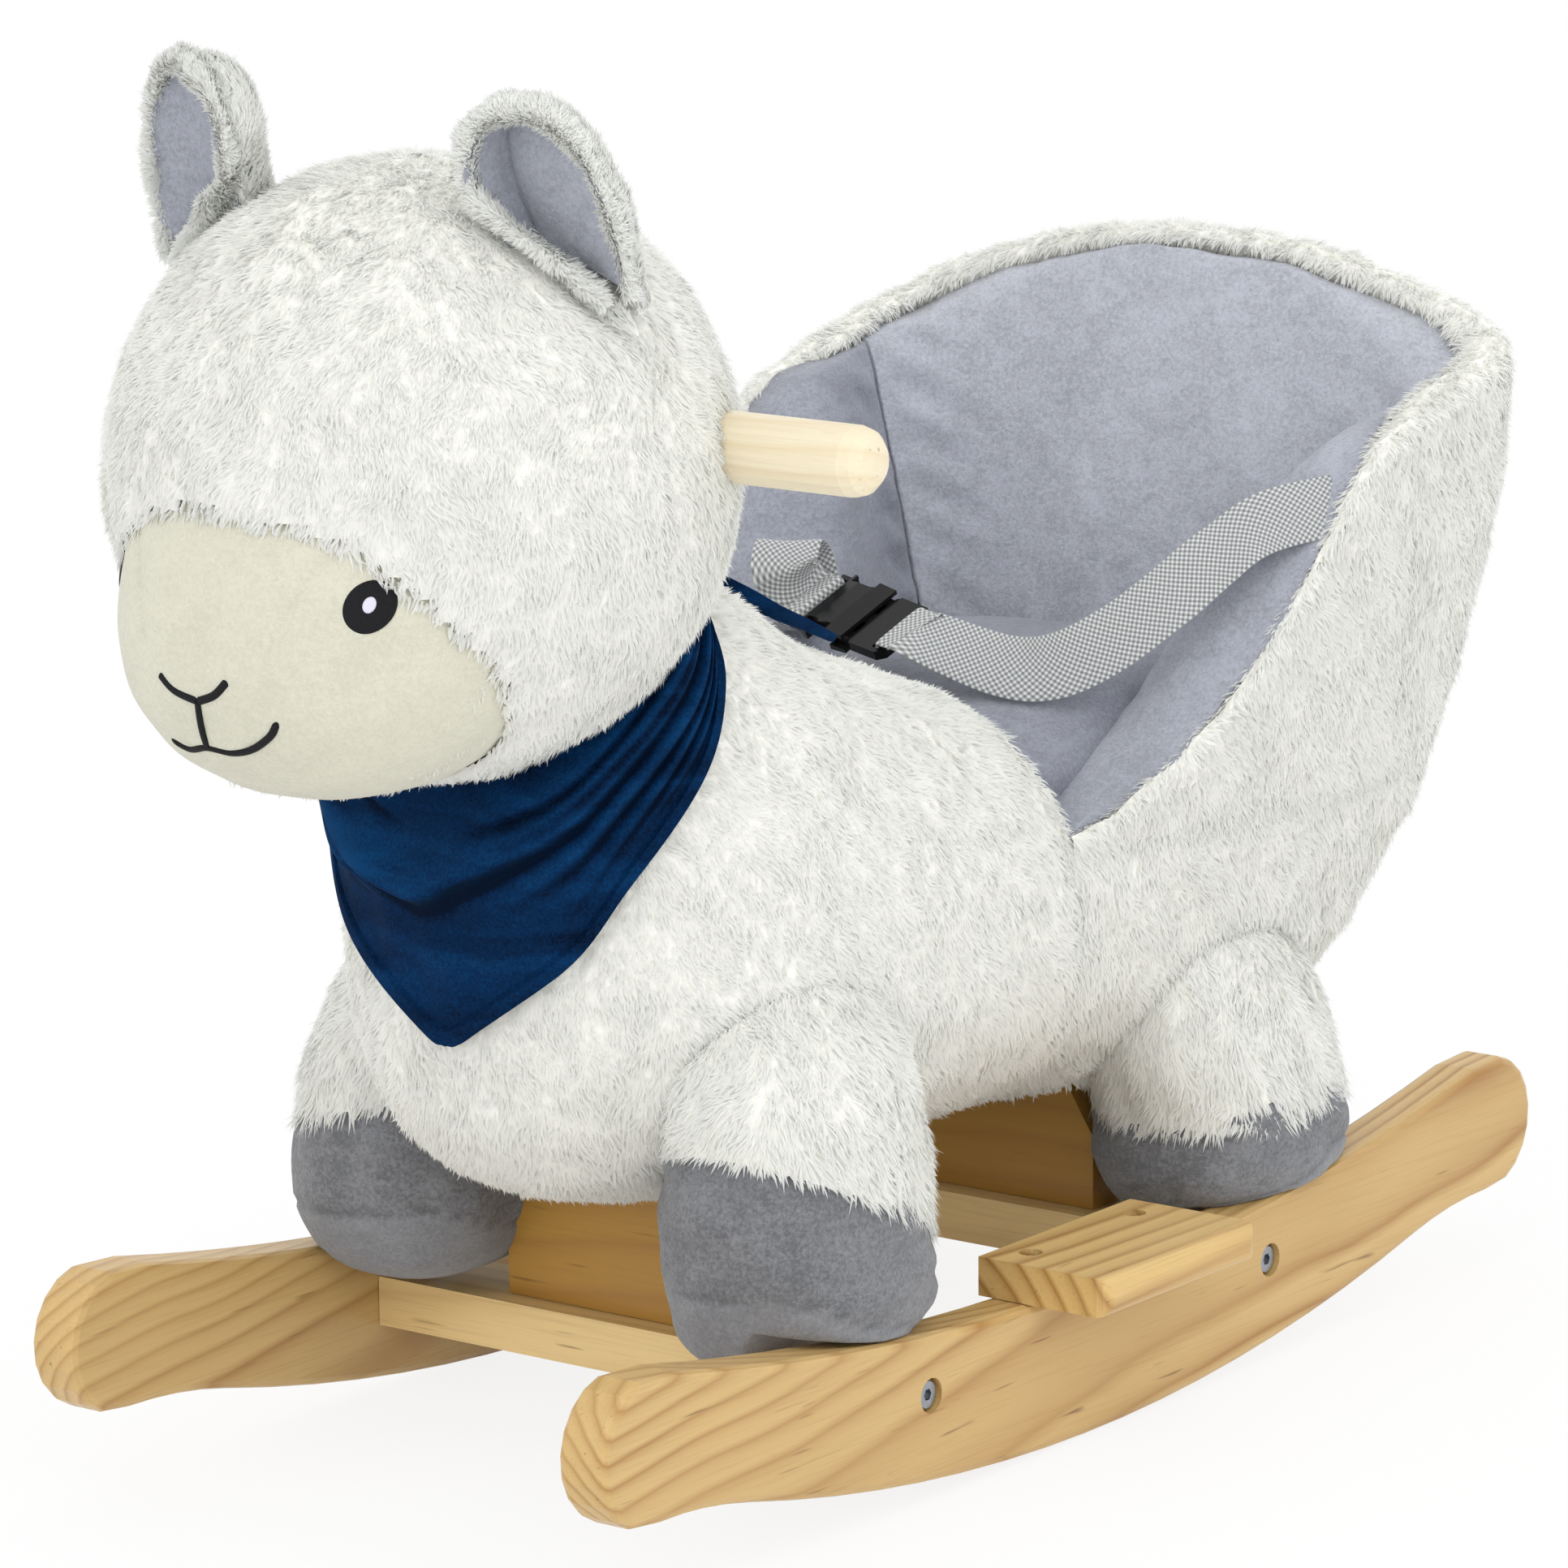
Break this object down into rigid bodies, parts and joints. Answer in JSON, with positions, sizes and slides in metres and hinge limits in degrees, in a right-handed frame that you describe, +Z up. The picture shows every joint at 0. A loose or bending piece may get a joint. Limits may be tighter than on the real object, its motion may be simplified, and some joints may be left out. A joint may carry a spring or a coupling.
{
  "type": "rocking animal toy",
  "caption": "Plush rocking alpaca on pine rockers with a padded tub seat, a wooden handle dowel, side footrests and a buckled lap belt.",
  "frame": {"origin": "middle of the object's box at floor level", "axes": "+Z up, the animal looks along -Y, +X is the animal's left side"},
  "size_m": [0.328, 0.6509, 0.5214],
  "materials": {
    "white_fur": "long clumpy pile",
    "cream_pile": "short pile",
    "grey_pile": "short velour",
    "navy_velvet": "crushed velvet",
    "pine": "clear satin lacquer",
    "pale_wood": "sanded, satin",
    "plywood": "raw plywood",
    "zinc": "zinc plated",
    "black_nylon": "glossy moulded nylon",
    "grey_web": "woven webbing"
  },
  "bodies": {
    "toy": {"back_board": "plywood", "back_pad": "grey_pile", "bandana": "navy_velvet", "bandana_knot": "navy_velvet", "bandana_tail": "navy_velvet", "belt_left": "grey_web", "belt_right": "grey_web", "body_plush": "white_fur", "buckle_socket": "black_nylon", "ear_left": "white_fur", "ear_lining_left": "grey_pile", "ear_lining_right": "grey_pile", "ear_right": "white_fur", "face_patch": "cream_pile", "footrest_left": "pine", "footrest_right": "pine", "footrest_screw_left_front": "zinc", "footrest_screw_left_rear": "zinc", "footrest_screw_right_front": "zinc", "footrest_screw_right_rear": "zinc", "front_crossbar": "pine", "front_upright": "pine", "handle_dowel": "pale_wood", "head_plush": "white_fur", "hoof_front_left": "grey_pile", "hoof_front_right": "grey_pile", "hoof_rear_left": "grey_pile", "hoof_rear_right": "grey_pile", "leg_front_left": "white_fur", "leg_front_right": "white_fur", "leg_rear_left": "white_fur", "leg_rear_right": "white_fur", "neck_board": "plywood", "rear_crossbar": "pine", "rear_upright": "pine", "rocker_bolt_left_front": "zinc", "rocker_bolt_left_rear": "zinc", "rocker_bolt_right_front": "zinc", "rocker_bolt_right_rear": "zinc", "rocker_left": "pine", "rocker_right": "pine", "rump_plush": "white_fur", "seat_board": "plywood", "seat_cushion": "grey_pile", "threaded_insert_left_front": "zinc", "threaded_insert_left_rear": "zinc", "threaded_insert_right_front": "zinc", "threaded_insert_right_rear": "zinc", "tub_shell": "white_fur", "wing_board_left": "plywood", "wing_board_right": "plywood", "wing_pad_left": "grey_pile", "wing_pad_right": "grey_pile"},
    "plug": {"buckle_plug": "black_nylon"},
    "prong_front": {"buckle_prong_front": "black_nylon"},
    "prong_rear": {"buckle_prong_rear": "black_nylon"}
  },
  "joints": [
    {"name": "belt_release", "type": "slide", "parent": "toy", "child": "plug", "axis": [0.9752, -0.1709, -0.1408], "range_m": [0, 0.024], "deforming": ["belt_left"]},
    {"name": "prong_squeeze_front", "type": "hinge", "parent": "plug", "child": "prong_front", "pos_m": [-0.01788, 0.07125, 0.27333], "axis": [-0.0444, 0.4716, -0.8807], "range_deg": [0, 8], "stiffness_Nm_per_rad": 0.5},
    {"name": "prong_squeeze_rear", "type": "hinge", "parent": "plug", "child": "prong_rear", "pos_m": [-0.0132, 0.08994, 0.2831], "axis": [0.0444, -0.4716, 0.8807], "range_deg": [0, 8], "stiffness_Nm_per_rad": 0.5}
  ],
  "couplings": [
    {"joint": "prong_squeeze_rear", "follows": "prong_squeeze_front", "ratio": 1}
  ]
}
